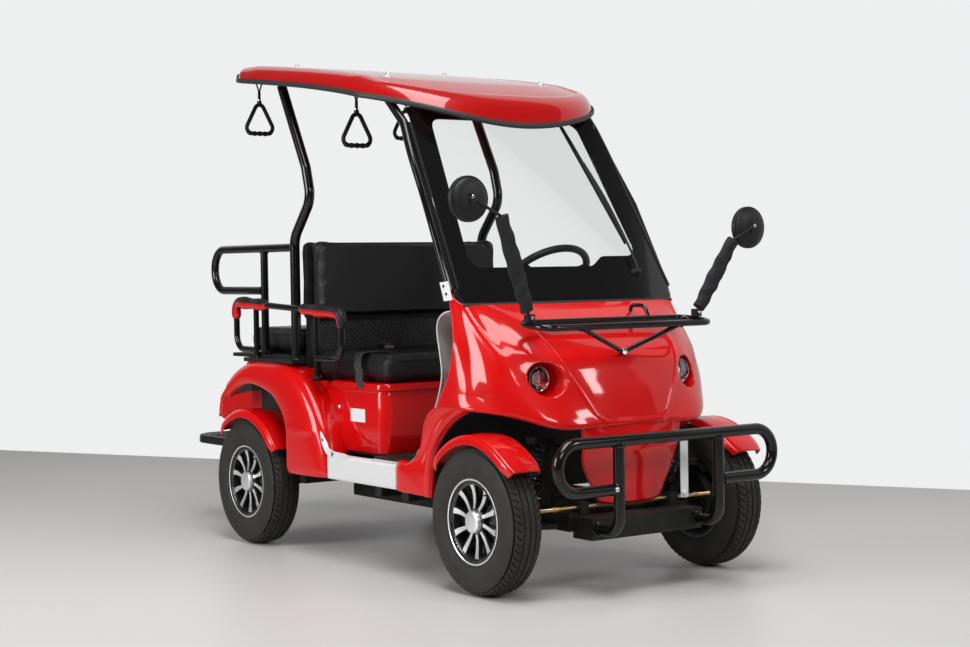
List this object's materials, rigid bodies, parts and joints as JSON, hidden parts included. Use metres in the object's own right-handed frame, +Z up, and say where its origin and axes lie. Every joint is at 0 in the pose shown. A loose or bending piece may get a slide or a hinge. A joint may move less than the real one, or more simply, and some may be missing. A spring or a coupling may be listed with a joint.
{
  "type": "four-seat electric golf cart",
  "caption": "Open golf cart with a roof, windscreen, front and rear-facing bench seats, tubular bumper and steerable front wheels",
  "frame": {"origin": "on the ground under the middle of the cart's overall length and width", "axes": "+X to the driver's left-hand side, +Y to the rear, +Z up"},
  "size_m": [1.356, 2.758, 1.859],
  "materials": {
    "black_steel": "satin black paint",
    "battery_case": "moulded case",
    "red_paint": "glossy clear-coated red",
    "black_tube": "glossy black powder coat",
    "lamp": "clear lens over a projector",
    "grey_plastic": "fine grain",
    "silver_trim": "brushed extrusion",
    "black_plastic": "moulded, satin",
    "screen_glass": "clear sheet with a black printed border",
    "black_vinyl": "satin vinyl with a fine grain",
    "gold_zinc": "yellow zinc plate",
    "alloy": "machined faces, black pockets",
    "tyre": "ribbed road tread"
  },
  "bodies": {
    "cart": {"chassis_frame": "black_steel", "floor_pan": "black_steel", "battery_pack": "battery_case", "front_suspension": "black_steel", "rear_axle": "black_steel", "front_cowl": "red_paint", "hood_panel": "red_paint", "nose_apron": "red_paint", "headlamps": "lamp", "cowl_legs": "red_paint", "dash_panel": "grey_plastic", "sills": "silver_trim", "seat_box": "red_paint", "rear_body": "red_paint", "rear_arches": "red_paint", "rear_mudguards": "red_paint", "bull_bar": "black_tube", "front_rack": "black_tube", "mirror_left": "black_plastic", "mirror_right": "black_plastic", "windscreen": "screen_glass", "wiper": "black_plastic", "a_pillars": "black_tube", "c_pillars": "black_tube", "roof_frame": "black_tube", "roof": "red_paint", "hanging_grips": "black_plastic", "seat_base": "black_steel", "back_panel": "black_steel", "front_cushion": "black_vinyl", "front_backrest": "black_vinyl", "rear_cushion": "black_vinyl", "rear_backrest": "black_vinyl", "armrests": "black_tube", "rear_rails": "black_tube", "footrest": "black_plastic", "steering_column": "black_steel"},
    "steering_wheel": {"steering_wheel": "black_plastic"},
    "tie_rods": {"tie_rods": "gold_zinc"},
    "knuckle_left": {"knuckle_left": "black_steel", "front_mudguard_left": "red_paint"},
    "knuckle_right": {"knuckle_right": "black_steel", "front_mudguard_right": "red_paint"},
    "wheel_front_left": {"rim_front_left": "alloy", "tyre_front_left": "tyre"},
    "wheel_front_right": {"rim_front_right": "alloy", "tyre_front_right": "tyre"},
    "wheel_rear_left": {"rim_rear_left": "alloy", "tyre_rear_left": "tyre"},
    "wheel_rear_right": {"rim_rear_right": "alloy", "tyre_rear_right": "tyre"}
  },
  "joints": [
    {"name": "steer_left", "type": "hinge", "parent": "cart", "child": "knuckle_left", "pos_m": [0.385, -1, 0.243], "axis": [0, 0, 1], "range_deg": [-25, 25]},
    {"name": "steer_right", "type": "hinge", "parent": "cart", "child": "knuckle_right", "pos_m": [-0.385, -1, 0.243], "axis": [0, 0, 1], "range_deg": [-25, 25]},
    {"name": "rack", "type": "slide", "parent": "cart", "child": "tie_rods", "axis": [1, 0, 0], "range_m": [-0.062, 0.062]},
    {"name": "steering_wheel_turn", "type": "hinge", "parent": "cart", "child": "steering_wheel", "pos_m": [0.235, -0.4, 1.02], "axis": [0, 0.6428, 0.766], "range_deg": [-300, 300]},
    {"name": "spin_front_left", "type": "hinge", "parent": "knuckle_left", "child": "wheel_front_left", "pos_m": [0.477, -1, 0.243], "axis": [1, 0, 0], "continuous": true},
    {"name": "spin_front_right", "type": "hinge", "parent": "knuckle_right", "child": "wheel_front_right", "pos_m": [-0.477, -1, 0.243], "axis": [1, 0, 0], "continuous": true},
    {"name": "spin_rear_left", "type": "hinge", "parent": "cart", "child": "wheel_rear_left", "pos_m": [0.477, 0.535, 0.243], "axis": [1, 0, 0], "continuous": true},
    {"name": "spin_rear_right", "type": "hinge", "parent": "cart", "child": "wheel_rear_right", "pos_m": [-0.477, 0.535, 0.243], "axis": [1, 0, 0], "continuous": true}
  ],
  "couplings": [
    {"joint": "steer_right", "follows": "steer_left", "ratio": 1},
    {"joint": "rack", "follows": "steer_left", "m_per_rad": 0.14},
    {"joint": "steering_wheel_turn", "follows": "steer_left", "ratio": 12}
  ]
}
